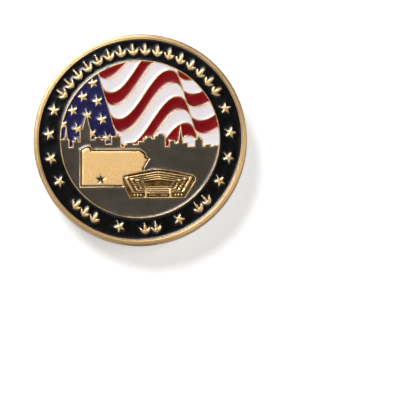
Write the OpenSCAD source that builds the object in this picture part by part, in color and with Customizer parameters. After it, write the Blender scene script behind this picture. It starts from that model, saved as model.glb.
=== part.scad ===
// Challenge coin: one die-struck brass blank with coloured enamel fills on both faces.
// The coin stands on its edge. Its axis runs along Y, the obverse faces -Y, the reverse
// faces +Y, and +Z is the top of both designs. The origin is the centre of the coin.
// Outlines are drawn as seen from the face they belong to, X to the right and Y up.

/* [Coin] */
// Outer diameter of the coin
coin_d = 44.5; // [36:0.5:54]
// Overall thickness, from rim face to rim face
coin_t = 3; // [2.4:0.1:4]
// Width of the raised rim on each face
rim_w = 1.1; // [0.8:0.1:1.6]
// Height of the rim above the metal lines of the design
rim_step = 0.12; // [0.05:0.01:0.3]
// Chamfer along both corners of the outer edge
edge_chamfer = 0.3; // [0.1:0.05:0.4]

/* [Relief] */
// Depth of the enamel pockets below the metal lines
pocket_depth = 0.5; // [0.3:0.05:0.7]
// How far the enamel surface lies below the metal lines
enamel_drop = 0.14; // [0.05:0.01:0.25]
// Width of the metal lines between two enamels
line_w = 0.22; // [0.16:0.02:0.4]
// Width of the finest metal lines, inside wings, leaves and stars
fine_w = 0.14; // [0.1:0.02:0.24]

/* [Border] */
// Width of the border band, from the thin ring line to the rim
border_w = 4.55; // [4:0.05:5.5]
// Height of a laurel sprig in the border
sprig_h = 2.45; // [1.8:0.05:3]
// Outer radius of a star in the border
border_star_r = 1.2; // [0.8:0.05:1.5]

/* [Obverse] */
// Outer radius of a star in the flag's canton
canton_star_r = 1.1; // [0.8:0.05:1.4]
// Width of the dark moat around the plaque
moat_w = 0.28; // [0.2:0.02:0.5]
// Outer radius of the star let into the plaque
plaque_star_r = 0.95; // [0.6:0.05:1.3]

/* [Reverse] */
// Half of the shield's width
shield_half = 3.7; // [3:0.1:4]
// Height of the shield, from its top edge to its point
shield_h = 9.6; // [8:0.1:10]
// Outer radius of the white star above the shield
crest_star_r = 2.7; // [2:0.1:3]

/* [Hidden] */
$fn = 96;

coin_r = coin_d / 2;
// Inner edge of the rim, and the centre line of the thin ring
field_r = coin_r - rim_w;
ring_r = field_r - border_w;
ring_in = ring_r - line_w / 2;
ring_out = ring_r + line_w / 2;
motif_r = (ring_out + field_r) / 2;
// The centre designs are drawn for this ring radius and scaled to fit the real one
drawn_ring_r = 16.6;
art_k = ring_r / drawn_ring_r;
// Heights above the coin's middle plane
rim_top = coin_t / 2;
line_top = rim_top - rim_step;
pocket_floor = line_top - pocket_depth;
enamel_top = line_top - enamel_drop;
// A star's inner corners, as a share of its outer radius
star_waist = 0.42;
// Larger than any design, for shapes that are clipped to the ring
far = 20;

// Colours
gold = [0.86, 0.72, 0.50];
black = [0.09, 0.08, 0.08];

// ---------- places on the coin ----------

// Puts a drawing that was extruded upwards onto the obverse, h above the middle plane
module on_obverse(h) { rotate([90, 0, 0]) translate([0, 0, h]) children(); }

// The same on the reverse
module on_reverse(h) { rotate([90, 0, 180]) translate([0, 0, h]) children(); }

// One enamel fill, from the pocket's floor to the enamel's surface
module obverse_fill() {
    on_obverse(pocket_floor) linear_extrude(enamel_top - pocket_floor) children();
}

module reverse_fill() {
    on_reverse(pocket_floor) linear_extrude(enamel_top - pocket_floor) children();
}

// Keeps a centre design inside the thin ring
module in_ring() { intersection() { circle(ring_in); children(); } }

// Shrinks each colour's cell by half a metal line
module cell() { offset(delta = -line_w / 2) scale(art_k) children(); }

// ---------- small shapes ----------

function polar(r, a) = [r * cos(a), r * sin(a)];

module star(r) {
    polygon([for (i = [0:9]) polar(i % 2 == 0 ? r : r * star_waist, 90 + 36 * i)]);
}

// A pointed leaf between two arcs, from the origin up to [0, len]
module leaf(len, wid) {
    arc_r = (len * len / 4 + wid * wid / 4) / wid;
    intersection() {
        translate([arc_r - wid / 2, len / 2]) circle(arc_r);
        translate([wid / 2 - arc_r, len / 2]) circle(arc_r);
    }
}

// Laurel sprig of three leaves, centred on its height
module sprig() {
    side_h = sprig_h * 0.68;
    leaf_w = sprig_h * 0.25;
    translate([0, -sprig_h / 2]) {
        leaf(sprig_h, leaf_w * 1.12);
        for (turn = [-42, 42]) {
            translate([0, sprig_h * 0.06]) rotate(turn) leaf(side_h, leaf_w);
        }
    }
}

// Places a motif at each angle of the border band
module around(angles, flip = 0) {
    for (a = angles) rotate(a - 90) translate([0, motif_r]) rotate(flip) children();
}

function spread(first, last, count) =
    [for (i = [0:count - 1]) first + (last - first) * i / (count - 1)];

module border_band() {
    difference() {
        circle(field_r);
        circle(ring_out);
    }
}

// ---------- obverse: border ----------

obv_star_angles = concat(spread(161, 208, 4), spread(19.4, -28.4, 4), [257.3, 296]);

module obverse_motifs() {
    around(spread(149, 32, 16)) sprig();
    around(concat(spread(226.5, 240.5, 3), [273.5, 280.5], [310, 317]), 180) sprig();
    around(obv_star_angles) star(border_star_r);
}

module obv_border_2d() {
    difference() {
        border_band();
        obverse_motifs();
    }
}

// ---------- obverse: the waving flag ----------

// Every stripe edge is the same wave, moved by one step
stripe_step = [0.83, -2.81];
first_trough = [-6.9, 12.8];
wave_len = 10.5;
wave_rise = 10.2;
// Steepness of the wave's ends, past its trough and its crest
wave_end = 0.19;
wave_reach = 3;

function wave_y(s) =
    s < 0 ? wave_end * pow(-s, 3)
    : s > wave_len ? wave_rise - wave_end * pow(s - wave_len, 3)
    : wave_rise * (1 - cos(180 * s / wave_len)) / 2;

function wave_edge(i, last) =
    [for (s = [-wave_reach:0.5:last]) first_trough + i * stripe_step + [s, wave_y(s)]];

// Everything below stripe edge i, to the left of the fold
module below_wave(i) {
    edge = wave_edge(i, wave_len + wave_reach);
    last = edge[len(edge) - 1];
    polygon(concat([[-far, -far], [-far, far], [edge[0][0], far]], edge, [[last[0], -far]]));
}

// The same to the right of the fold, where the cloth hangs in one shallow billow
fly_trough = [10, 12.3];

module below_fly(i) {
    p = fly_trough + i * stripe_step;
    edge = [for (u = [-3:0.5:8]) p + [u, (u < 0 ? 0.25 : 0.12) * u * u]];
    polygon(concat([[-far, -far], [p[0] - 3, -far]], edge, [[far, edge[22][1]], [far, -far]]));
}

// The canton's edge and the fold are parallel to the step from stripe to stripe
lean = stripe_step[0] / stripe_step[1];
canton_x = -4.65;
fold_x = 12.05;

function leaning(x, y) = [x + lean * y, y];

module left_of(x) {
    polygon([[-far, -far], leaning(x, -far), leaning(x, far), [-far, far]]);
}

module hoist_part() {
    difference() {
        left_of(fold_x);
        left_of(canton_x);
    }
}

module red_cloth() {
    intersection() {
        hoist_part();
        union() {
            polygon(wave_edge(0, wave_len));
            for (i = [1:2:7]) difference() {
                below_wave(i);
                below_wave(i + 1);
            }
        }
    }
}

module red_fly() {
    difference() {
        square(2 * far, center = true);
        left_of(fold_x);
        below_fly(0);
    }
    for (i = [1:2:3]) difference() {
        below_fly(i);
        below_fly(i + 1);
        left_of(fold_x);
    }
}

module obv_red_2d() {
    in_ring() {
        cell() difference() {
            red_cloth();
            city();
        }
        cell() difference() {
            red_fly();
            city();
        }
    }
}

module obv_white_2d() {
    in_ring() {
        cell() difference() {
            hoist_part();
            red_cloth();
            city();
        }
        cell() difference() {
            square(2 * far, center = true);
            left_of(fold_x);
            red_fly();
            city();
        }
    }
}

// Stars stand on a leaning grid, row j below column i
canton_first = [-9.8, 11.9];
canton_down = [0.97, -3.87];
canton_across = [-2.1, -2.9];

module canton_stars() {
    for (i = [0:3], j = [0:3]) if (i + j <= 3) {
        translate(art_k * (canton_first + i * canton_down + j * canton_across))
            rotate(15) star(canton_star_r);
    }
}

module obv_canton_2d() {
    difference() {
        in_ring() cell() difference() {
            left_of(canton_x);
            city();
        }
        canton_stars();
    }
}

// ---------- obverse: the skyline ----------

city_base = -1.7;
// Blocks of the skyline: left side, right side, roof
blocks = [
    [-far, -14.8, 0], [-13.9, -12.5, -0.5], [-12.5, -10.3, 2.2], [-10.3, -7.2, -0.1],
    [-7.2, -5.9, -1.1], [-5.9, -4, 0.5], [-3.2, -0.3, -1.2], [-0.3, 0.8, -0.6],
    [0.8, 3.1, 0], [3.1, 5.3, 0.65], [6.2, 7.3, -0.4], [7.3, 9, -1], [9, 10, -0.9],
    [11.5, 13.1, -0.2], [13.6, 14.7, -1.3], [15.3, far, -1.5],
    [-13.5, -12.9, 0.2], [-9.3, -8.1, 0.35], [-2.7, -1.4, -0.75], [1.3, 2.5, 0.4],
    [3.7, 4.9, 1.05], [11.9, 12.7, 0.2],
];
// Spires: centre, foot, tip, half width at the foot
spires = [
    [-15.4, -0.1, 2.3, 0.28], [-11.2, 2, 5.4, 0.85], [-4.6, 0.3, 1.3, 0.3],
    [8.5, -1.1, 2.4, 0.5], [12.3, -0.4, 0.8, 0.3],
];

module city() {
    translate([-far, -far]) square([2 * far, far + city_base]);
    for (b = blocks) translate([b[0], city_base - 1]) {
        square([b[1] - b[0], b[2] - city_base + 1]);
    }
    for (s = spires) {
        polygon([[s[0] - s[3], s[1] - 1], [s[0] + s[3], s[1] - 1], [s[0] + s[3], s[1]],
            [s[0], s[2]], [s[0] - s[3], s[1]]]);
    }
}

module obv_city_2d() {
    difference() {
        in_ring() cell() city();
        offset(delta = moat_w + line_w) scale(art_k) plaque_outline();
        scale(art_k) building_outline();
    }
}

// ---------- obverse: the plaque ----------

module plaque_outline() {
    polygon([
        [-12.1, -9.7], [-12.1, -2.4], [-11.2, -1.9], [-10.5, -1.8], [-10.2, -2.5], [0, -2.5],
        [0.9, -3.2], [1, -3.9], [1.6, -4.3], [0.9, -5.4], [0.5, -6.2], [0.7, -7.2], [0.7, -9.7],
    ]);
}

plaque_star_at = [-8.15, -8.45];

module obv_plaque_moat_2d() {
    difference() {
        offset(delta = moat_w) scale(art_k) plaque_outline();
        scale(art_k) plaque_outline();
        offset(delta = line_w) scale(art_k) building_outline();
    }
}

module obv_plaque_star_2d() {
    translate(art_k * plaque_star_at) star(plaque_star_r);
}

// ---------- obverse: the five-sided building ----------

module building_outline() {
    polygon([
        [3.9, -6.3], [-3.4, -7.5], [-3.75, -8], [-3.6, -9.2], [-2.1, -12.5], [9.5, -12.5],
        [11.7, -8.9], [11.7, -8], [11.1, -7.6],
    ]);
}

// Corners of the outer wall and of the court, back corner first and then clockwise
wall_corners = [[3.9, -6.85], [11, -8.05], [9.2, -11.3], [-1.5, -11.3], [-3.3, -8.05]];
court_corners = [[3.9, -8.6], [7, -8.95], [6.3, -10], [1.4, -10], [0.7, -8.95]];
// Where each of the building's nested ranges starts and how deep it is, as shares of the
// way from the wall to the court
range_starts = [0, 0.29, 0.56, 0.83];
range_depth = 0.15;
// Rows of windows along a side wing, and the gap between two of them
window_rows = 5;
window_gap = 0.17;

// A corner's place at a share of the way from wall to court
function corner(i, k) = wall_corners[i % 5] * (1 - k) + court_corners[i % 5] * k;

// Point at share q along side i, at share k of the way in
function on_side(i, q, k) = corner(i, k) * (1 - q) + corner(i + 1, k) * q;

module strip(a, b, w) {
    translate(a) rotate(atan2(b[1] - a[1], b[0] - a[0])) {
        translate([0, -w / 2]) square([norm(b - a), w]);
    }
}

module building_ranges() {
    difference() {
        for (k = range_starts) difference() {
            polygon([for (i = [0:4]) corner(i, k)]);
            polygon([for (i = [0:4]) corner(i, k + range_depth)]);
        }
        for (side = [1, 3], j = [1:window_rows - 1]) {
            q = j / window_rows;
            strip(on_side(side, q, range_depth), on_side(side, q, 0.96), window_gap);
        }
    }
    for (i = [0, 1, 4]) strip(corner(i, 0), corner(i, 1), 0.16);
}

// The porch of the front wing, and the windows on both sides of it
porch_left = 1.1;
porch_w = 5.5;
porch_top = -10.4;
porch_foot = -12.3;
pier_w = 0.45;

module porch() {
    pier_h = porch_top - porch_foot;
    for (x = [0, porch_w - pier_w]) translate([porch_left + x, porch_foot]) square([pier_w, pier_h]);
    for (y = [porch_top - 0.3, -11.12, -11.52]) {
        translate([porch_left + 0.1, y]) square([porch_w - 0.2, 0.27]);
    }
    for (x = [0.85, porch_w - 2.25]) translate([porch_left + x, -11.98]) square([1.4, 0.24]);
}

module front_windows() {
    for (i = [0:2], side = [0, 1]) {
        left = -1.2 + 0.64 * i;
        x = side == 0 ? left : 2 * porch_left + porch_w - left - 0.32;
        translate([x, -12.05]) square([0.32, 0.45]);
    }
}

module building_relief() {
    difference() {
        building_ranges();
        translate([porch_left, porch_foot]) square([porch_w, porch_top - porch_foot]);
    }
    porch();
    front_windows();
}

// Pocket around the walls, left open and only darkened
module building_pocket_2d() {
    difference() {
        offset(delta = -line_w) scale(art_k) building_outline();
        scale(art_k) building_relief();
    }
}

// ---------- reverse: border ----------

rev_star_angles = concat(spread(139, 190.5, 4), spread(41.8, -9.6, 4));

module reverse_motifs() {
    around(spread(124, 56, 9)) sprig();
    around(concat(spread(205.5, 264, 8), spread(284, 334.5, 7)), 180) sprig();
    around(rev_star_angles) star(border_star_r);
}

module rev_border_2d() {
    difference() {
        border_band();
        reverse_motifs();
    }
}

// ---------- reverse: wings ----------

function bezier(p, t) =
    pow(1 - t, 3) * p[0] + 3 * t * pow(1 - t, 2) * p[1] + 3 * t * t * (1 - t) * p[2]
    + pow(t, 3) * p[3];

// Four edges of the wing from its tip to its root: front, inner, middle and feather tips
wing_front = [[-12.5, 9], [-7.2, 7.8], [-5.6, 2.4], [-3.85, -0.6]];
wing_inner = [[-11.4, 8.2], [-8, 6.2], [-6.6, 1.4], [-3.85, -2]];
wing_middle = [[-12, 8.1], [-8.6, 4.6], [-9.2, -0.8], [-3.85, -3.7]];
wing_tips = [[-13, 9], [-10.6, 3.6], [-11.4, -3.2], [-3.9, -6]];

// A point between two edges: t runs from tip to root, s from one edge to the other
function between(a, b, t, s) = bezier(a, t) * (1 - s) + bezier(b, t) * s;

// One feather between two edges, with a pointed end
module feather(a, b, t, step) {
    gap = step * 0.13;
    polygon([
        between(a, b, t + gap, 0.05), between(a, b, t + step - gap, 0.05),
        between(a, b, t + step - gap, 0.84), between(a, b, t + step / 2, 0.98),
        between(a, b, t + gap, 0.84),
    ]);
}

module feather_row(a, b, count) {
    step = 0.94 / count;
    for (i = [0:count - 1]) feather(a, b, 0.04 + i * step, step);
}

module wing_outline() {
    front = [for (t = [0:0.05:1]) bezier(wing_front, t)];
    tips = [for (i = [32:-1:0])
        between(wing_middle, wing_tips, 0.04 + 0.94 * i / 32, i % 2 == 0 ? 0.9 : 1.06)];
    polygon(concat(front, tips));
}

module both_sides() {
    children();
    mirror([1, 0]) children();
}

module rev_feather_2d() {
    scale(art_k) both_sides() difference() {
        union() {
            feather_row(wing_inner, wing_middle, 13);
            feather_row(wing_middle, wing_tips, 16);
        }
        scale(1 / art_k) offset(delta = fine_w) scale(art_k) shield();
    }
}

module rev_wing_maroon_2d() {
    both_sides() difference() {
        offset(delta = -fine_w) scale(art_k) polygon(concat(
            [for (t = [0.1:0.09:1]) bezier(wing_front, t)],
            [for (t = [1:-0.09:0.1]) bezier(wing_inner, t)]));
        offset(delta = line_w) scale(art_k) shield();
    }
}

// ---------- reverse: shield ----------

shield_top = 0.4;
chief_h = 3;

// Straight sides, then two arcs down to the point
module shield() {
    straight = shield_h * 0.55;
    drop = shield_h - straight;
    arc_r = (shield_half * shield_half + drop * drop) / (2 * shield_half);
    translate([-shield_half, shield_top - straight]) square([2 * shield_half, straight]);
    translate([0, shield_top - straight]) intersection() {
        translate([arc_r - shield_half, 0]) circle(arc_r);
        translate([shield_half - arc_r, 0]) circle(arc_r);
        translate([-shield_half, -drop]) square([2 * shield_half, drop]);
    }
}

module shield_below(y) {
    intersection() {
        shield();
        translate([-far, y - far]) square([2 * far, far]);
    }
}

module rev_chief_2d() {
    difference() {
        cell() difference() {
            shield();
            shield_below(shield_top - chief_h);
        }
        for (i = [-4:4], j = [0:3]) {
            translate(art_k * [i * shield_half / 5, shield_top - 0.65 - j * 0.58]) circle(0.15);
        }
    }
}

pale_count = 11;

module pales(first) {
    w = 2 * shield_half / pale_count;
    intersection() {
        shield_below(shield_top - chief_h);
        for (i = [first:2:pale_count - 1]) {
            translate([-shield_half + i * w, -far]) square([w, 2 * far]);
        }
    }
}

module fine_cell() { offset(delta = -fine_w / 2) scale(art_k) children(); }

module rev_shield_red_2d() { fine_cell() pales(1); }

module rev_shield_white_2d() { fine_cell() pales(0); }

// ---------- reverse: star, laurel and fan ----------

crest_at = [0, 3.9];

module crest_star() { translate(crest_at) star(crest_star_r); }

module rev_star_2d() {
    difference() {
        offset(delta = -fine_w) scale(art_k) crest_star();
        translate(art_k * crest_at) for (a = [18:36:378]) {
            rotate(a) translate([0, -fine_w / 2]) square([far, fine_w]);
        }
    }
}

// Two half wreaths, leaves in pairs along an arc
wreath_r = 12.6;
wreath_angles = spread(246, 194, 7);
wreath_leaf = [3.3, 1.15];
wreath_turns = [-30, 38];

module wreath_leaves(grow) {
    len = wreath_leaf[0] * art_k + 2 * grow;
    wid = wreath_leaf[1] * art_k + 2 * grow;
    both_sides() for (a = wreath_angles, turn = wreath_turns) {
        rotate(a) translate([wreath_r * art_k, 0]) rotate(180 + turn)
            translate([0, -grow]) leaf(len, wid);
    }
}

module wreath_stem() {
    both_sides() for (a = [193:2:249]) {
        rotate(a) translate([(wreath_r - 0.15) * art_k, -0.35]) square([line_w, 0.7]);
    }
}

module rev_laurel_2d() {
    difference() {
        wreath_leaves(-fine_w);
        wreath_stem();
        both_sides() for (a = wreath_angles, turn = wreath_turns) {
            rotate(a) translate([wreath_r * art_k, 0]) rotate(180 + turn)
                translate([-fine_w / 2, 0]) square([fine_w, wreath_leaf[0] * art_k * 0.72]);
        }
    }
}

// Fan of flutes below the shield
fan_at = [0, -6.4];
fan_len = 8.3;
flute_angles = spread(238, 302, 9);
flute_half = 3.4;

module flute() {
    half = tan(flute_half);
    polygon(concat([[1, -half], [1, half]],
        [for (a = [90:-30:-90]) [fan_len, 0] + polar(fan_len * half, a)]));
}

module fan() {
    translate(fan_at) for (a = flute_angles) rotate(a) flute();
}

module rev_fan_2d() {
    difference() {
        scale(art_k) fan();
        offset(delta = line_w / 2) scale(art_k) shield();
    }
}

// ---------- reverse: stars, sea and land ----------

top_star_r = 1.25;

module top_stars() {
    for (a = spread(50, 130, 5)) {
        translate(art_k * polar(12.6, a)) rotate(a - 90) star(top_star_r * art_k);
    }
}

// Everything of the emblem that is metal or has its own enamel
module emblem() {
    offset(delta = line_w * 0.6) scale(art_k) {
        both_sides() wing_outline();
        fan();
        shield();
    }
    scale(art_k) crest_star();
    wreath_leaves(0);
    wreath_stem();
    top_stars();
}

// Land masses: place, half width, half height, turn
lands = [
    [-13.4, 4.6, 2.6, 4.2, 10], [-5.6, 10.6, 2.4, 1.6, -20], [1.4, 8.6, 1.2, 2.4, 5],
    [10.4, 11, 3, 1.9, -35], [13.6, 3.6, 2.3, 4, -8], [-6.6, -7.4, 2, 2.5, 20],
    [7.2, -8, 2.2, 1.9, -15],
];

module land_shapes() {
    for (l = lands) translate([l[0], l[1]]) rotate(l[4]) scale([l[2], l[3]]) {
        polygon([for (a = [0:10:350])
            polar(1 + 0.16 * cos(2 * a + 40) + 0.12 * cos(3 * a) + 0.06 * cos(5 * a), a)]);
    }
}

module rev_land_2d() {
    difference() {
        in_ring() scale(art_k) land_shapes();
        emblem();
    }
}

module rev_ocean_2d() {
    difference() {
        circle(ring_in);
        scale(art_k) land_shapes();
        emblem();
    }
}

// ---------- the blank ----------

module obverse_pockets() {
    obv_border_2d();
    obv_canton_2d();
    obv_red_2d();
    obv_white_2d();
    obv_city_2d();
    obv_plaque_moat_2d();
    obv_plaque_star_2d();
    building_pocket_2d();
}

module reverse_pockets() {
    rev_border_2d();
    rev_land_2d();
    rev_ocean_2d();
    rev_feather_2d();
    rev_wing_maroon_2d();
    rev_chief_2d();
    rev_shield_red_2d();
    rev_shield_white_2d();
    rev_star_2d();
    rev_laurel_2d();
    rev_fan_2d();
}

// Half of the blank's section, from the axis out to the edge: field, rim, chamfer, edge
half_section = [
    [0, line_top], [field_r, line_top], [field_r, rim_top], [coin_r - edge_chamfer, rim_top],
    [coin_r, rim_top - edge_chamfer],
];

module blank() {
    mirrored = [for (i = [len(half_section) - 1:-1:0]) [half_section[i][0], -half_section[i][1]]];
    rotate([90, 0, 0]) rotate_extrude() polygon(concat(half_section, mirrored));
}

module coin_body() {
    color(gold) difference() {
        blank();
        on_obverse(pocket_floor) linear_extrude(pocket_depth + 1) obverse_pockets();
        on_reverse(pocket_floor) linear_extrude(pocket_depth + 1) reverse_pockets();
    }
}

// ---------- enamel fills ----------

module obv_border_black() { color(black) obverse_fill() obv_border_2d(); }
module obv_canton_blue() { color([0.16, 0.15, 0.38]) obverse_fill() obv_canton_2d(); }
module obv_red_stripes() { color([0.55, 0.05, 0.09]) obverse_fill() obv_red_2d(); }
module obv_white_stripes() { color([0.90, 0.87, 0.88]) obverse_fill() obv_white_2d(); }
module obv_city_grey() { color([0.27, 0.25, 0.22]) obverse_fill() obv_city_2d(); }
module obv_plaque_moat() { color([0.13, 0.10, 0.07]) obverse_fill() obv_plaque_moat_2d(); }
module obv_plaque_star() { color([0.13, 0.10, 0.07]) obverse_fill() obv_plaque_star_2d(); }

module rev_border_black() { color(black) reverse_fill() rev_border_2d(); }
module rev_ocean_navy() { color([0.07, 0.11, 0.18]) reverse_fill() rev_ocean_2d(); }
module rev_land_teal() { color([0.11, 0.33, 0.32]) reverse_fill() rev_land_2d(); }
module rev_feather_brown() { color([0.30, 0.17, 0.12]) reverse_fill() rev_feather_2d(); }
module rev_wing_maroon() { color([0.20, 0.07, 0.05]) reverse_fill() rev_wing_maroon_2d(); }
module rev_shield_chief() { color([0.06, 0.06, 0.12]) reverse_fill() rev_chief_2d(); }
module rev_shield_red() { color([0.62, 0.13, 0.12]) reverse_fill() rev_shield_red_2d(); }
module rev_shield_white() { color([0.93, 0.90, 0.85]) reverse_fill() rev_shield_white_2d(); }
module rev_star_white() { color([0.93, 0.90, 0.85]) reverse_fill() rev_star_2d(); }
module rev_laurel_green() { color([0.12, 0.24, 0.12]) reverse_fill() rev_laurel_2d(); }
module rev_fan_cream() { color([0.90, 0.82, 0.66]) reverse_fill() rev_fan_2d(); }

coin_body();
obv_border_black();
obv_canton_blue();
obv_red_stripes();
obv_white_stripes();
obv_city_grey();
obv_plaque_moat();
obv_plaque_star();
rev_border_black();
rev_ocean_navy();
rev_land_teal();
rev_feather_brown();
rev_wing_maroon();
rev_shield_chief();
rev_shield_red();
rev_shield_white();
rev_star_white();
rev_laurel_green();
rev_fan_cream();
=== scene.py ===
import math

import bmesh
import bpy
import numpy as np
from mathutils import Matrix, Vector
from mathutils.geometry import delaunay_2d_cdt
from mathutils.kdtree import KDTree


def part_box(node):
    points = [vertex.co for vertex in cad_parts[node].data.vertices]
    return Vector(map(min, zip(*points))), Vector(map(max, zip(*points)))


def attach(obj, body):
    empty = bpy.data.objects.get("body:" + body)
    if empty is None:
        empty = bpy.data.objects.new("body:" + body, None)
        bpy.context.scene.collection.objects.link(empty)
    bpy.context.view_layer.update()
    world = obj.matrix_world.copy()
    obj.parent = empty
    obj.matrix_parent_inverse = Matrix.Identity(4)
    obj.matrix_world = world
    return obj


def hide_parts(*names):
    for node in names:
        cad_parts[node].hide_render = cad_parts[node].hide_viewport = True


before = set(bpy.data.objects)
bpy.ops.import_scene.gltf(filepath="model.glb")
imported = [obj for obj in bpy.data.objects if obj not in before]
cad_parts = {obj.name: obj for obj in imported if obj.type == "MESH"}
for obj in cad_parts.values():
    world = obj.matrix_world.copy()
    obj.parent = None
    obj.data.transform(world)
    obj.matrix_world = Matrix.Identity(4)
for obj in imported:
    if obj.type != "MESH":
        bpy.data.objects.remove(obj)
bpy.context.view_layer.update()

# The challenge coin's looks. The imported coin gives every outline; each face is rebuilt here
# with rounded metal lines, facetted stars, ridged leaves, a beaded rim and poured enamel.
# Lengths are in millimetres until a mesh is made. A face's own plane has u to the right and
# v up as seen from that face, and h is the height above the coin's middle plane.

MM = 0.001
OBVERSE, REVERSE = -1, 1


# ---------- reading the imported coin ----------

def flat_mesh(node, side):
    """A node's vertices as (u, v, h) rows, seen from one face, and its triangles."""
    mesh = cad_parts[node].data
    co = np.zeros(len(mesh.vertices) * 3, np.float32)
    mesh.vertices.foreach_get("co", co)
    x, y, z = co.reshape(-1, 3).astype(float).T / MM
    mesh.calc_loop_triangles()
    tris = np.zeros(len(mesh.loop_triangles) * 3, np.int32)
    mesh.loop_triangles.foreach_get("vertices", tris)
    return np.stack([-side * x, z, side * y], 1), tris.reshape(-1, 3)


def body_levels():
    """Heights of the pocket floors, the metal lines and the rim."""
    points, _ = flat_mesh("coin_body", OBVERSE)
    levels = np.unique(np.round(np.abs(points[:, 2]), 3))
    return levels[0], levels[-2], levels[-1]


FLOOR_H, LINE_H, RIM_H = body_levels()
COIN_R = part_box("coin_body")[1].z / MM
ENAMEL_H = -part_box("obv_border_black")[0].y / MM


def radii(node, side):
    points, _ = flat_mesh(node, side)
    r = np.hypot(points[:, 0], points[:, 1])
    return r.min(), r.max()


RING_OUT, FIELD_R = radii("obv_border_black", OBVERSE)
RING_IN = radii("rev_ocean_navy", REVERSE)[1]
CIRCLES = (RING_IN, RING_OUT, FIELD_R)


def outline_loops(node, side, level):
    """Closed outlines of a node's flat faces at one height, with the face on their left."""
    points, tris = flat_mesh(node, side)
    flat = (np.abs(points[tris][:, :, 2] - level) < 0.003).all(1)
    keys, place = {}, []
    for u, v, _ in points:
        key = (round(u, 4), round(v, 4))
        place.append(keys.setdefault(key, len(keys)))
    spots = np.array(list(keys))
    tris = np.array(place)[tris[flat]]
    edges = {(t[i], t[(i + 1) % 3]) for t in tris.tolist() for i in range(3)}
    onward = {}
    for a, b in sorted(edges):
        if (b, a) not in edges:
            onward.setdefault(a, []).append(b)
    loops = []
    while onward:
        start = min(onward)
        loop, here = [], start
        while here in onward:
            loop.append(here)
            following = onward[here].pop()
            if not onward[here]:
                del onward[here]
            here = following
        if len(loop) > 2:
            loops.append(spots[loop])
    return loops


# ---------- outlines ----------

STEP = 0.24                          # longest edge on a curved stretch
CORNER = math.cos(math.radians(24))  # an outline that bends more than this has a corner
ON_CIRCLE = 0.006                    # how far from a circle a point may lie and count as on it


def unit(rows):
    return rows / np.maximum(np.linalg.norm(rows, axis=-1, keepdims=True), 1e-12)


def shared_circle(a, b):
    """Radius of the coin's own circle that both points lie on, or None."""
    for r in CIRCLES:
        if max(abs(math.hypot(*a) - r), abs(math.hypot(*b) - r)) < ON_CIRCLE:
            return r
    return None


def refine(loop):
    """Smooths an outline: more points on its curves, with its corners kept."""
    count = len(loop)
    before, after = np.roll(loop, 1, 0), np.roll(loop, -1, 0)
    bend = (unit(loop - before) * unit(after - loop)).sum(1)
    corner = bend < CORNER
    through = unit(after - before)
    fine = []
    for i in range(count):
        a, b = loop[i], loop[(i + 1) % count]
        length = np.linalg.norm(b - a)
        parts = max(1, math.ceil(length / STEP))
        share = np.arange(parts)[:, None] / parts
        r = shared_circle(a, b)
        if r:
            fine.append(unit(a + (b - a) * share) * r)
            continue
        along = (b - a) / length
        ta = (along if corner[i] else through[i]) * length
        tb = (along if corner[(i + 1) % count] else through[(i + 1) % count]) * length
        s2, s3 = share ** 2, share ** 3
        fine.append((2 * s3 - 3 * s2 + 1) * a + (s3 - 2 * s2 + share) * ta
                    + (3 * s2 - 2 * s3) * b + (s3 - s2) * tb)
    return np.concatenate(fine)


def left_of(loop):
    """Unit normals on the left of a closed outline."""
    along = unit(np.roll(loop, -1, 0) - np.roll(loop, 1, 0))
    return np.stack([-along[:, 1], along[:, 0]], 1)


ROW = 0.3   # height of the rows in which points are tested


def inside(points, loops):
    """Even-odd test of points against closed outlines, one row of the plane at a time."""
    a = np.concatenate(loops)
    b = np.concatenate([np.roll(loop, -1, 0) for loop in loops])
    low, high = np.minimum(a[:, 1], b[:, 1]), np.maximum(a[:, 1], b[:, 1])
    rows = np.floor(points[:, 1] / ROW).astype(int)
    found = np.zeros(len(points), bool)
    for row in np.unique(rows):
        pick = np.flatnonzero(rows == row)
        near = (high >= row * ROW) & (low <= (row + 1) * ROW)
        p, ea, eb = points[pick][:, None], a[near][None], b[near][None]
        crosses = (ea[..., 1] > p[..., 1]) != (eb[..., 1] > p[..., 1])
        rise = np.where(crosses, eb[..., 1] - ea[..., 1], 1.0)
        at = ea[..., 0] + (p[..., 1] - ea[..., 1]) * (eb[..., 0] - ea[..., 0]) / rise
        found[pick] = (crosses & (p[..., 0] < at)).sum(1) % 2 == 1
    return found


class Shore:
    """Distance from any point to the outlines of one face."""

    def __init__(self, loops, gap=0.03):
        rows = []
        for loop in loops:
            for a, b in zip(loop, np.roll(loop, -1, 0)):
                parts = max(1, math.ceil(np.linalg.norm(b - a) / gap))
                rows.append(a + (b - a) * np.arange(parts)[:, None] / parts)
        rows = np.concatenate(rows)
        self.tree = KDTree(len(rows))
        for i, (u, v) in enumerate(rows):
            self.tree.insert((u, v, 0), i)
        self.tree.balance()

    def distance(self, points):
        return np.array([self.tree.find((u, v, 0))[2] for u, v in points])


def hex_grid(reach, gap):
    """Points a gap apart, every second row moved along by half a gap."""
    row = np.arange(-reach, reach, gap)
    heights = np.arange(-reach, reach, gap * math.sqrt(3) / 2)
    return np.concatenate([np.stack([row + gap / 2 * (i % 2), np.full(len(row), v)], 1)
                           for i, v in enumerate(heights)])


def triangulate(loops, extra, spokes=()):
    """Triangles over outlines and loose points, keeping each outline and spoke as edges."""
    points, edges = [], []
    for loop in loops:
        first = len(points)
        points += [Vector(p) for p in loop]
        edges += [(first + i, first + (i + 1) % len(loop)) for i in range(len(loop))]
    for a, b in spokes:
        edges.append((len(points), len(points) + 1))
        points += [Vector(a), Vector(b)]
    points += [Vector(p) for p in extra]
    verts, _, faces, _, _, _ = delaunay_2d_cdt(points, edges, [], 0, 1e-5, False)
    return np.array([tuple(v) for v in verts]), np.array([f for f in faces if len(f) == 3])


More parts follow.
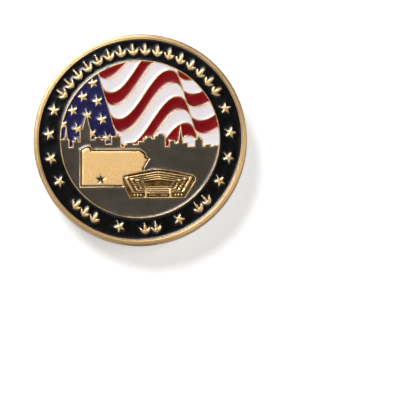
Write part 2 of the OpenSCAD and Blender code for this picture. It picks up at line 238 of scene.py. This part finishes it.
def smooth(x, low, high):
    t = np.clip((x - low) / (high - low), 0, 1)
    return t * t * (3 - 2 * t)


# ---------- meshes ----------

def to_space(uvh, side):
    """Rows of (u, v, h) in millimetres to metres in the coin's frame."""
    return np.stack([-side * uvh[:, 0], side * uvh[:, 2], uvh[:, 1]], 1) * MM


def new_mesh(name, points, faces, sharp_angle=38, flat=None):
    """A mesh object from points in metres; flat marks the faces that stay facetted."""
    mesh = bpy.data.meshes.new(name)
    mesh.from_pydata(points.tolist(), [], [list(f) for f in faces])
    mesh.validate()
    smooth_faces = np.ones(len(mesh.polygons), bool)
    if flat is not None:
        smooth_faces[: len(flat)] = ~flat
    mesh.polygons.foreach_set("use_smooth", smooth_faces)
    mesh.set_sharp_from_angle(angle=math.radians(sharp_angle))
    mesh.update()
    obj = bpy.data.objects.new(name, mesh)
    bpy.context.scene.collection.objects.link(obj)
    return obj


def point_values(obj, name, values):
    layer = obj.data.attributes.new(name, "FLOAT", "POINT")
    layer.data.foreach_set("value", np.asarray(values, np.float32))


def compact(points, faces):
    """Drops the points that no face uses."""
    used = np.unique(faces)
    index = np.full(len(points), -1)
    index[used] = np.arange(len(used))
    return points[used], index[faces]


# ---------- the struck metal ----------

RIM_STEPS = 540        # points around the rim
HATCH = 135            # slanting cuts around the rim
CUT_DEPTH = 0.006
CUT_SLANT = 9          # how far a cut turns as it crosses the rim, in radians per millimetre
EDGE_ROUND = 0.3       # radius of the rounded outer edge
METAL_GRID = 0.24      # distance between loose points on wide metal
METAL_ROWS = (0.025, 0.062)   # distances of the rows of points beside a wall
ROW_SHARE = 0.86       # a row's point is kept if it is this share of its distance from any wall
LINE_EDGE = 0.055      # how far a metal line's top has rounded down at its wall
LINE_ROUND = 0.062     # width of that rounding
STAR_POINTS = 10       # corners of a five-pointed star's outline
STAR_EDGE = 0.02       # how far a star's outline lies below the metal lines
STAR_PEAK = 0.04       # height of a star's middle above the metal lines
LEAF_PEAK = 0.045      # height of a leaf's ridge above its rounded edge
LEAF_HALF = 0.34       # half width of a border leaf at its widest
GRAIN_FROM = 0.3       # distance from a wall at which the sandblasted grain begins
MOTIF_SIZE = 3.6       # metal islands smaller than this are the border's leaves and the stars


def is_island(loop):
    """True for metal that stands alone inside a pocket: its outline runs clockwise."""
    nxt = np.roll(loop, -1, 0)
    return (loop[:, 0] * nxt[:, 1] - nxt[:, 0] * loop[:, 1]).sum() < 0


def is_star(loop):
    return len(loop) == STAR_POINTS and is_island(loop)


def is_motif(loop):
    """A small island, such as a leaf sprig or a star."""
    return is_island(loop) and np.ptp(loop, axis=0).max() < MOTIF_SIZE


def rim_circle(radius):
    turn = np.arange(RIM_STEPS) * math.tau / RIM_STEPS
    return np.stack([np.cos(turn), np.sin(turn)], 1) * radius


class Relief:
    """One face of the coin inside the rim: metal tops, pocket floors and the walls between."""

    def __init__(self, side):
        self.side = side
        raw = outline_loops("coin_body", side, FLOOR_H)
        self.raw = [loop for loop in raw if np.abs(np.hypot(*loop.T) - FIELD_R).max() >= 0.01]
        self.loops = [refine(loop) for loop in self.raw]
        self.rim = rim_circle(FIELD_R)
        self.shore = Shore(self.loops + [self.rim])
        self.stars = [loop for loop in self.raw if is_star(loop)]
        self.leaves = [fine for loop, fine in zip(self.raw, self.loops)
                       if is_motif(loop) and not is_star(loop)]

    def metal_points(self):
        """Loose points on the metal: rows beside each wall, and a grid on what is wide."""
        rows = []
        for gap in METAL_ROWS:
            for loop in self.loops:
                row = loop - left_of(loop) * gap
                rows.append(row[self.shore.distance(row) > gap * ROW_SHARE])
        grid = hex_grid(FIELD_R, METAL_GRID)
        grid = grid[np.hypot(*grid.T) < FIELD_R - 0.2]
        grid = grid[~inside(grid, self.loops + [self.rim])]
        rows.append(grid[self.shore.distance(grid) > METAL_ROWS[-1] + 0.06])
        return np.concatenate(rows)

    def tops(self, points):
        """Height of the metal's surface and how sandblasted it is."""
        d = self.shore.distance(points)
        h = LINE_H - LINE_EDGE * (1 - smooth(d, -0.01, LINE_ROUND))
        grain = smooth(d, GRAIN_FROM, GRAIN_FROM + 0.1)
        leaf = inside(points, self.leaves) if self.leaves else np.zeros(len(points), bool)
        h[leaf] += LEAF_PEAK * np.minimum(d[leaf] / LEAF_HALF, 1)
        grain[leaf] = 0
        for star in self.stars:
            middle = star.mean(0)
            reach = np.linalg.norm(star - middle, axis=1).max()
            near = np.linalg.norm(points - middle, axis=1) <= reach + 0.01
            near[near] = inside(middle + (points[near] - middle) * 0.999, [star])
            away = self.star_share(points[near], star, middle)
            h[near] = LINE_H - STAR_EDGE + (STAR_EDGE + STAR_PEAK) * (1 - away)
            grain[near] = 0
        return h, grain

    @staticmethod
    def star_share(points, star, middle):
        """0 at a star's middle and 1 on its outline, straight along every ray."""
        rays = points - middle
        share = np.zeros(len(points))
        for a, b in zip(star - middle, np.roll(star, -1, 0) - middle):
            area = a[0] * b[1] - a[1] * b[0]
            s = (rays[:, 0] * b[1] - rays[:, 1] * b[0]) / area
            t = (a[0] * rays[:, 1] - a[1] * rays[:, 0]) / area
            here = (s >= -1e-6) & (t >= -1e-6)
            share[here] = (s + t)[here]
        return np.clip(share, 0, 1)

    def build(self):
        """(points in metres, grain of each point, faces, which faces stay flat)."""
        spokes = [(star.mean(0), p) for star in self.stars for p in star]
        flat, tris = triangulate(self.loops + [self.rim], self.metal_points(), spokes)
        middles = flat[tris].mean(1)
        pocket = inside(middles, self.loops + [self.rim])
        tops, grain = self.tops(flat)
        count = len(flat)
        points = np.concatenate([np.column_stack([flat, tops]),
                                 np.column_stack([flat, np.full(count, FLOOR_H)])])
        owner = {}
        for t, (a, b, c) in enumerate(tris.tolist()):
            owner[a, b] = owner[b, c] = owner[c, a] = t
        walls = [(a, a + count, b + count, b) for (a, b), t in owner.items()
                 if not pocket[t] and (b, a) in owner and pocket[owner[b, a]]]
        starry = np.zeros(len(tris), bool)
        if self.stars:
            starry = inside(middles, self.stars) & ~pocket
        metal, floor = tris[~pocket], tris[pocket] + count
        faces = metal.tolist() + floor.tolist() + walls
        keep_flat = np.concatenate([starry[~pocket], np.zeros(len(floor) + len(walls), bool)])
        return to_space(points, self.side), np.concatenate([grain, grain]), faces, keep_flat


def rim_profile():
    """Half of the rim's section, from the pocket floor to the middle of the edge: radius,
    height and how deep the slanting cuts are there."""
    w = COIN_R - FIELD_R
    bead, band = FIELD_R + 0.24 * w, FIELD_R + 0.63 * w
    inner = [(FIELD_R, FLOOR_H, 0), (FIELD_R, RIM_H - 0.16, 0), (FIELD_R + 0.02, RIM_H - 0.08, 0),
             (FIELD_R + 0.07, RIM_H - 0.02, 0), (FIELD_R + 0.13, RIM_H, 0),
             (FIELD_R + 0.19, RIM_H - 0.015, 0), (bead, RIM_H - 0.07, 0)]
    middle = [(bead + 0.03, RIM_H - 0.09, 0), (bead + 0.08, RIM_H - 0.055, 0.4)]
    middle += [(r, RIM_H - 0.045, 1) for r in np.linspace(bead + 0.13, band - 0.08, 5)]
    middle += [(band - 0.03, RIM_H - 0.055, 0.4), (band, RIM_H - 0.07, 0)]
    outer = [(band + 0.04, RIM_H - 0.02, 0), (band + 0.09, RIM_H, 0)]
    outer += [(COIN_R - EDGE_ROUND * (1 - math.sin(t)), RIM_H - EDGE_ROUND * (1 - math.cos(t)), 0)
              for t in np.radians(np.arange(-5, 91, 15))]
    return np.array(inner + middle + outer + [(COIN_R, 0, 0)])


def rim_points():
    """Rings of points along the rim's section, in the plane of either face."""
    turn = np.arange(RIM_STEPS) * math.tau / RIM_STEPS
    rings = []
    for r, h, cut in rim_profile():
        wave = CUT_DEPTH * cut * np.cos(HATCH * turn + (r - FIELD_R) * CUT_SLANT)
        rings.append(np.column_stack([r * np.cos(turn), r * np.sin(turn),
                                      np.full(RIM_STEPS, h) + wave]))
    return rings


def rim_faces(first, rings):
    here = np.arange(RIM_STEPS)
    after = (here + 1) % RIM_STEPS
    faces = []
    for i in range(rings - 1):
        a, b = first + i * RIM_STEPS, first + (i + 1) * RIM_STEPS
        faces += np.column_stack([a + here, b + here, b + after, a + after]).tolist()
    return faces


def weld(obj, gap):
    bm = bmesh.new()
    bm.from_mesh(obj.data)
    bmesh.ops.remove_doubles(bm, verts=bm.verts, dist=gap)
    loose = [v for v in bm.verts if not v.link_faces]
    bmesh.ops.delete(bm, geom=loose, context="VERTS")
    bm.to_mesh(obj.data)
    bm.free()


def struck_blank(reliefs):
    """The whole blank as one closed mesh: both reliefs and the rim that joins them."""
    points, grain, faces, flat = [], [], [], []
    total = 0
    for relief in reliefs:
        p, g, f, keep = relief.build()
        points.append(p)
        grain.append(g)
        faces += [[i + total for i in face] for face in f]
        flat.append(keep)
        total += len(p)
    rings = rim_points()
    for relief in reliefs:
        points.append(to_space(np.concatenate(rings), relief.side))
        grain.append(np.zeros(len(rings) * RIM_STEPS))
        faces += rim_faces(total, len(rings))
        total += len(rings) * RIM_STEPS
    flat = np.concatenate(flat)
    # The reliefs' flat marks follow their own faces, which come first
    obj = new_mesh("struck_blank", np.concatenate(points), faces, flat=flat)
    point_values(obj, "grain", np.concatenate(grain))
    weld(obj, 1e-7)
    return obj


# ---------- the enamel ----------

ENAMEL_GRID = 0.3     # distance between loose points on wide enamel
ENAMEL_ROWS = (0.06, 0.14, 0.25)   # distances of the rows of points beside an outline
CLIMB = 0.075         # how far the enamel climbs a metal wall
CLIMB_REACH = 0.26    # distance from the wall over which the climb dies away
BOWL = 0.02           # how far a pool dishes towards its middle
BOWL_REACH = 0.9      # distance from the wall over which the dish forms
RIPPLE = 0.004        # height of the slow waves in the enamel
TUCK = 0.015          # enamel pushed into the wall, so that no gap shows


def enamel_height(points, shore):
    d = shore.distance(points)
    ripple = RIPPLE * np.sin(points[:, 0] * 1.7 + 0.6) * np.sin(points[:, 1] * 1.3)
    climb = CLIMB * np.exp(-d / CLIMB_REACH)
    return ENAMEL_H + climb - BOWL * (1 - np.exp(-d / BOWL_REACH)) + ripple


def enamel(node, relief):
    """A poured fill: closed solids with the node's outlines and a dished, climbing surface."""
    side, shore = relief.side, relief.shore
    loops = [refine(loop) for loop in outline_loops(node, side, ENAMEL_H)]
    own = Shore(loops)
    rows = []
    for gap in ENAMEL_ROWS:
        for loop in loops:
            row = loop + left_of(loop) * gap
            rows.append(row[own.distance(row) > gap * ROW_SHARE])
    grid = hex_grid(FIELD_R, ENAMEL_GRID)
    grid = grid[inside(grid, loops)]
    rows.append(grid[own.distance(grid) > ENAMEL_ROWS[-1] + 0.1])
    tucked = []
    for loop in loops:
        at_wall = shore.distance(loop) < 0.03
        tucked.append(loop - left_of(loop) * TUCK * at_wall[:, None])
    flat, tris = triangulate(tucked, np.concatenate(rows))
    tris = tris[inside(flat[tris].mean(1), tucked)]
    flat, tris = compact(flat, tris)
    count = len(flat)
    top = np.column_stack([flat, enamel_height(flat, shore)])
    bottom = np.column_stack([flat, np.full(count, FLOOR_H)])
    edges = {(t[i], t[(i + 1) % 3]) for t in tris.tolist() for i in range(3)}
    walls = [(a, a + count, b + count, b) for a, b in sorted(edges) if (b, a) not in edges]
    faces = tris.tolist() + (tris[:, ::-1] + count).tolist() + walls
    obj = new_mesh("poured_" + node, to_space(np.concatenate([top, bottom]), side), faces)
    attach(obj, "root")
    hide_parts(node)
    return obj


# ---------- materials ----------

def node_kit(material):
    material.use_nodes = True
    tree = material.node_tree
    tree.nodes.clear()
    out = tree.nodes.new("ShaderNodeOutputMaterial")
    shader = tree.nodes.new("ShaderNodeBsdfPrincipled")
    tree.links.new(shader.outputs[0], out.inputs["Surface"])
    return tree, shader


def add(tree, kind, inputs=None, **props):
    """A shader node with its settings; an input is a number, a colour or a socket."""
    made = tree.nodes.new("ShaderNode" + kind)
    for key, value in props.items():
        setattr(made, key, value)
    for key, value in (inputs or {}).items():
        if isinstance(value, bpy.types.NodeSocket):
            tree.links.new(value, made.inputs[key])
        else:
            made.inputs[key].default_value = value
    return made


def math_node(tree, operation, a, b=0.0, clamp=False):
    return add(tree, "Math", {0: a, 1: b}, operation=operation, use_clamp=clamp).outputs[0]


def multiply_add(tree, value, factor, offset):
    return add(tree, "Math", {0: value, 1: factor, 2: offset}, operation="MULTIPLY_ADD").outputs[0]


def mix(tree, factor, a, b):
    made = add(tree, "Mix", data_type="RGBA")
    for key, value in ((0, factor), (6, a), (7, b)):
        if isinstance(value, bpy.types.NodeSocket):
            tree.links.new(value, made.inputs[key])
        else:
            made.inputs[key].default_value = value
    return made.outputs[2]


def noise(tree, place, scale, detail=3.0, roughness=0.55):
    return add(tree, "TexNoise", {"Vector": place, "Scale": scale, "Detail": detail,
                                  "Roughness": roughness}).outputs["Fac"]


def band(tree, value, low, high):
    """0 below low, 1 above high, smooth between."""
    made = add(tree, "MapRange", {0: value, 1: low, 2: high}, interpolation_type="SMOOTHSTEP")
    return made.outputs[0]


def hex_rgb(r, g, b):
    """A colour given as it looks on a screen, 0 to 255, as the shader wants it."""
    def linear(c):
        c /= 255
        return c / 12.92 if c <= 0.04045 else ((c + 0.055) / 1.055) ** 2.4
    return (linear(r), linear(g), linear(b), 1.0)


def antique_gold():
    """Plated brass: dark patina low in the relief, bright worn tops, fine grain on the plaque."""
    material = bpy.data.materials.new("antique_gold")
    tree, shader = node_kit(material)
    place = add(tree, "TexCoord").outputs["Object"]
    axes = add(tree, "SeparateXYZ", {0: place})
    depth = math_node(tree, "ABSOLUTE", axes.outputs["Y"])
    raised = band(tree, depth, (FLOOR_H + 0.05) * MM, (LINE_H - 0.03) * MM)
    radius = math_node(tree, "SQRT", math_node(tree, "ADD", math_node(
        tree, "POWER", axes.outputs["X"], 2.0), math_node(tree, "POWER", axes.outputs["Z"], 2.0)))
    on_rim = band(tree, radius, (FIELD_R + 0.02) * MM, (FIELD_R + 0.2) * MM)
    on_edge = band(tree, radius, (COIN_R - 0.06) * MM, (COIN_R - 0.01) * MM)
    raised = math_node(tree, "MAXIMUM", raised, on_rim)
    cloud = noise(tree, place, 160.0)
    tops = mix(tree, band(tree, cloud, 0.35, 0.7), hex_rgb(192, 160, 114), hex_rgb(204, 173, 128))
    tops = mix(tree, on_edge, tops, hex_rgb(176, 140, 88))
    grain = add(tree, "Attribute", attribute_name="grain").outputs["Fac"]
    specks = band(tree, noise(tree, place, 3800.0, 2.0), 0.35, 0.65)
    sanded = mix(tree, specks, hex_rgb(181, 149, 101), hex_rgb(194, 161, 112))
    tops = mix(tree, grain, tops, sanded)
    patina = mix(tree, band(tree, noise(tree, place, 900.0), 0.3, 0.7),
                 hex_rgb(70, 50, 24), hex_rgb(118, 88, 46))
    tree.links.new(mix(tree, raised, patina, tops), shader.inputs["Base Color"])
    smear = noise(tree, place, 420.0, 5.0)
    rough = multiply_add(tree, smear, 0.1, 0.27)
    rough = math_node(tree, "ADD", rough, math_node(tree, "MULTIPLY", grain, 0.24), True)
    tree.links.new(rough, shader.inputs["Roughness"])
    shader.inputs["Metallic"].default_value = 1.0
    blast = math_node(tree, "MULTIPLY", noise(tree, place, 5600.0, 2.0), grain)
    fine = math_node(tree, "MULTIPLY", noise(tree, place, 2600.0, 4.0), 0.06)
    turned = add(tree, "Mapping", {"Vector": place, "Scale": (90.0, 6000.0, 90.0)})
    lathe = math_node(tree, "MULTIPLY", noise(tree, turned.outputs[0], 1.0, 2.0), on_edge)
    height = math_node(tree, "ADD", math_node(tree, "ADD", blast, fine), math_node(
        tree, "MULTIPLY", lathe, 0.3))
    bump = add(tree, "Bump", {"Height": height, "Strength": 0.5, "Distance": 0.00003})
    tree.links.new(bump.outputs[0], shader.inputs["Normal"])
    return material


def graticule(tree, place, radius, degrees, width):
    """1 on the meridians and parallels of a globe seen from the front, 0 between them."""
    axes = add(tree, "SeparateXYZ", {0: place})
    u = math_node(tree, "DIVIDE", axes.outputs["X"], radius)
    v = math_node(tree, "DIVIDE", axes.outputs["Z"], radius)
    lat = math_node(tree, "ARCSINE", v)
    waist = math_node(tree, "COSINE", lat)
    lon = math_node(tree, "ARCSINE", math_node(tree, "DIVIDE", u, waist))
    step = math.radians(degrees)
    lines = []
    for angle, stretch in ((lat, waist), (lon, math_node(tree, "MULTIPLY", waist,
                                                        math_node(tree, "COSINE", lon)))):
        cell = math_node(tree, "PINGPONG", math_node(tree, "ADD", angle, 10 * step), step / 2)
        reach = math_node(tree, "MULTIPLY", cell, stretch)
        lines.append(math_node(tree, "SUBTRACT", 1.0, band(tree, reach, 0.5 * width, width)))
    return math_node(tree, "MAXIMUM", *lines)


def enamel_material(name, deep, pale, rough=0.16, globe=False):
    """Glossy poured enamel with a faint cloud of pigment and an uneven skin."""
    material = bpy.data.materials.new(name)
    tree, shader = node_kit(material)
    place = add(tree, "TexCoord").outputs["Object"]
    cloud = band(tree, noise(tree, place, 210.0, 4.0), 0.3, 0.75)
    colour = mix(tree, cloud, hex_rgb(*deep), hex_rgb(*pale))
    if globe:
        lines = graticule(tree, place, 0.0178, 15, 0.006)
        colour = mix(tree, math_node(tree, "MULTIPLY", lines, 0.6), colour, hex_rgb(120, 128, 118))
    tree.links.new(colour, shader.inputs["Base Color"])
    skin = noise(tree, place, 520.0, 3.0)
    tree.links.new(multiply_add(tree, skin, 0.12, rough - 0.05), shader.inputs["Roughness"])
    shader.inputs["IOR"].default_value = 1.44
    bump = add(tree, "Bump", {"Height": skin, "Strength": 0.25, "Distance": 0.00002})
    tree.links.new(bump.outputs[0], shader.inputs["Normal"])
    return material


def give(obj, material):
    obj.data.materials.clear()
    obj.data.materials.append(material)


# Each enamel: node, face, record slot, deep and pale colour
ENAMELS = [
    ("obv_border_black", OBVERSE, "enamel_black", (4, 3, 4), (9, 7, 8)),
    ("obv_canton_blue", OBVERSE, "enamel_blue", (22, 20, 62), (38, 36, 84)),
    ("obv_red_stripes", OBVERSE, "enamel_red", (118, 2, 8), (134, 10, 20)),
    ("obv_white_stripes", OBVERSE, "enamel_white", (234, 226, 231), (243, 237, 240)),
    ("obv_city_grey", OBVERSE, "enamel_grey", (66, 60, 51), (80, 73, 66)),
    ("obv_plaque_moat", OBVERSE, "enamel_umber", (34, 27, 18), (48, 38, 26)),
    ("obv_plaque_star", OBVERSE, "enamel_umber", (34, 27, 18), (48, 38, 26)),
    ("rev_border_black", REVERSE, "enamel_black", (4, 3, 4), (9, 7, 8)),
    ("rev_ocean_navy", REVERSE, "enamel_navy", (14, 24, 38), (26, 42, 64)),
    ("rev_land_teal", REVERSE, "enamel_teal", (24, 76, 76), (38, 98, 94)),
    ("rev_feather_brown", REVERSE, "enamel_brown", (62, 34, 26), (84, 50, 38)),
    ("rev_wing_maroon", REVERSE, "enamel_maroon", (48, 16, 12), (66, 24, 18)),
    ("rev_shield_chief", REVERSE, "enamel_navy", (14, 16, 34), (24, 28, 50)),
    ("rev_shield_red", REVERSE, "enamel_red", (150, 30, 30), (176, 46, 42)),
    ("rev_shield_white", REVERSE, "enamel_cream", (236, 226, 208), (244, 236, 222)),
    ("rev_star_white", REVERSE, "enamel_cream", (236, 228, 214), (246, 240, 230)),
    ("rev_laurel_green", REVERSE, "enamel_green", (28, 52, 26), (44, 72, 36)),
    ("rev_fan_cream", REVERSE, "enamel_cream", (228, 210, 172), (240, 224, 192)),
]


def build_coin():
    reliefs = {side: Relief(side) for side in (OBVERSE, REVERSE)}
    blank = struck_blank([reliefs[OBVERSE], reliefs[REVERSE]])
    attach(blank, "root")
    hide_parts("coin_body")
    give(blank, antique_gold())
    for node, side, slot, deep, pale in ENAMELS:
        fill = enamel(node, reliefs[side])
        give(fill, enamel_material(node, deep, pale, globe=node == "rev_ocean_navy"))


# ---------- stage ----------

PALE = (0.9, 0.9, 0.9, 1)
MIRRORED = (0.45, 0.45, 0.45, 1)   # the stage as the coin mirrors it, so its enamel stays deep
STAGE_GLOW = 0.5


def one_sided(name, colour, glow):
    """Matte, faintly glowing paint that shows only from its front and casts no shadow."""
    material = bpy.data.materials.new(name)
    material.use_nodes = True
    tree = material.node_tree
    tree.nodes.clear()
    out = tree.nodes.new("ShaderNodeOutputMaterial")
    clear = add(tree, "BsdfTransparent")
    back = add(tree, "NewGeometry").outputs["Backfacing"]
    ray = add(tree, "LightPath").outputs
    hidden = math_node(tree, "MAXIMUM", back, ray["Is Shadow Ray"])
    strength = add(tree, "MapRange", {0: ray["Is Camera Ray"], 3: 0.5 * glow, 4: glow})
    lamp = add(tree, "Emission", {"Color": (1, 1, 1, 1), "Strength": strength.outputs[0]})
    paint = add(tree, "BsdfDiffuse", {"Color": mix(tree, ray["Is Glossy Ray"], colour, MIRRORED)})
    lit = add(tree, "AddShader", {0: paint.outputs[0], 1: lamp.outputs[0]})
    blend = add(tree, "MixShader", {0: hidden, 1: lit.outputs[0], 2: clear.outputs[0]})
    tree.links.new(blend.outputs[0], out.inputs["Surface"])
    return material


def panel(name, corners, material):
    mesh = bpy.data.meshes.new(name)
    mesh.from_pydata(corners, [], [(0, 1, 2, 3)])
    obj = bpy.data.objects.new(name, mesh)
    bpy.context.scene.collection.objects.link(obj)
    mesh.materials.append(material)
    return obj


def stage():
    foot = -COIN_R * MM
    wide, behind = 1.6, 0.007
    floor = panel("floor", [(-wide, -wide, foot), (wide, -wide, foot), (wide, wide, foot),
                            (-wide, wide, foot)], one_sided("floor_paint", PALE, STAGE_GLOW))
    # The backdrop runs on below the floor, and light thrown up by the floor would show the join
    floor.visible_diffuse = False
    panel("backdrop", [(-wide, behind, -wide), (wide, behind, -wide), (wide, behind, wide),
                       (-wide, behind, wide)], one_sided("backdrop_paint", PALE, STAGE_GLOW))


def soft_light(name, place, size, watts, colour=(1, 1, 1)):
    data = bpy.data.lights.new(name, "AREA")
    data.shape, data.size, data.energy, data.color = "DISK", size, watts, colour
    obj = bpy.data.objects.new(name, data)
    bpy.context.scene.collection.objects.link(obj)
    obj.location = place
    obj.rotation_euler = (-Vector(place)).to_track_quat("-Z", "Y").to_euler()
    obj.visible_camera = False


def lights():
    for side, name in ((OBVERSE, "front"), (REVERSE, "back")):
        soft_light(name + "_key", (side * 0.2, side * 0.5, 0.3), 0.3, 3.6, (1, 0.985, 0.965))
        soft_light(name + "_fill", (-side * 0.3, side * 0.5, -0.02), 0.3, 0.8)
    for end, name in ((-1, "left"), (1, "right")):
        soft_light(name + "_edge", (end * 0.6, -0.04, 0.12), 0.3, 0.45)
    world = bpy.data.worlds.new("studio")
    bpy.context.scene.world = world
    world.use_nodes = True
    tree = world.node_tree
    up = add(tree, "SeparateXYZ", {0: add(tree, "TexCoord").outputs["Generated"]}).outputs["Z"]
    glow = add(tree, "MapRange", {0: up, 1: 0.0, 2: 0.9, 3: 0.22, 4: 1.1}).outputs[0]
    seen = add(tree, "LightPath").outputs["Is Camera Ray"]
    # The world's own grey is 0.05, so a strength of 19 shows it nearly white beyond the stage
    shown = math_node(tree, "MAXIMUM", glow, math_node(tree, "MULTIPLY", seen, 19.0))
    tree.links.new(shown, tree.nodes["Background"].inputs["Strength"])


# The photograph sees the coin from a little below its middle, small in the upper left
AZIMUTH, ELEVATION = 3.0, -9.0
DISTANCE = 1.0
COIN_SHARE = 0.508            # the coin's diameter as a share of the frame's width
COIN_PLACE = (-0.166, 0.1665)  # its centre, right and up of the frame's centre, as shares


def camera():
    a, e = math.radians(AZIMUTH), math.radians(ELEVATION)
    back = Vector((math.sin(a) * math.cos(e), -math.cos(a) * math.cos(e), math.sin(e)))
    turn = (-back).to_track_quat("-Z", "Y")
    frame_width = 2 * COIN_R * MM / COIN_SHARE
    aside = turn @ Vector((-COIN_PLACE[0] * frame_width, -COIN_PLACE[1] * frame_width, 0))
    data = bpy.data.cameras.new("camera")
    data.sensor_width = 36.0
    data.lens = data.sensor_width * DISTANCE / frame_width
    data.clip_start, data.clip_end = 0.01, 20
    obj = bpy.data.objects.new("camera", data)
    bpy.context.scene.collection.objects.link(obj)
    obj.location = back * DISTANCE + aside
    obj.rotation_euler = turn.to_euler()
    bpy.context.scene.camera = obj


build_coin()
stage()
lights()
camera()
bpy.context.scene.view_settings.view_transform = "Standard"
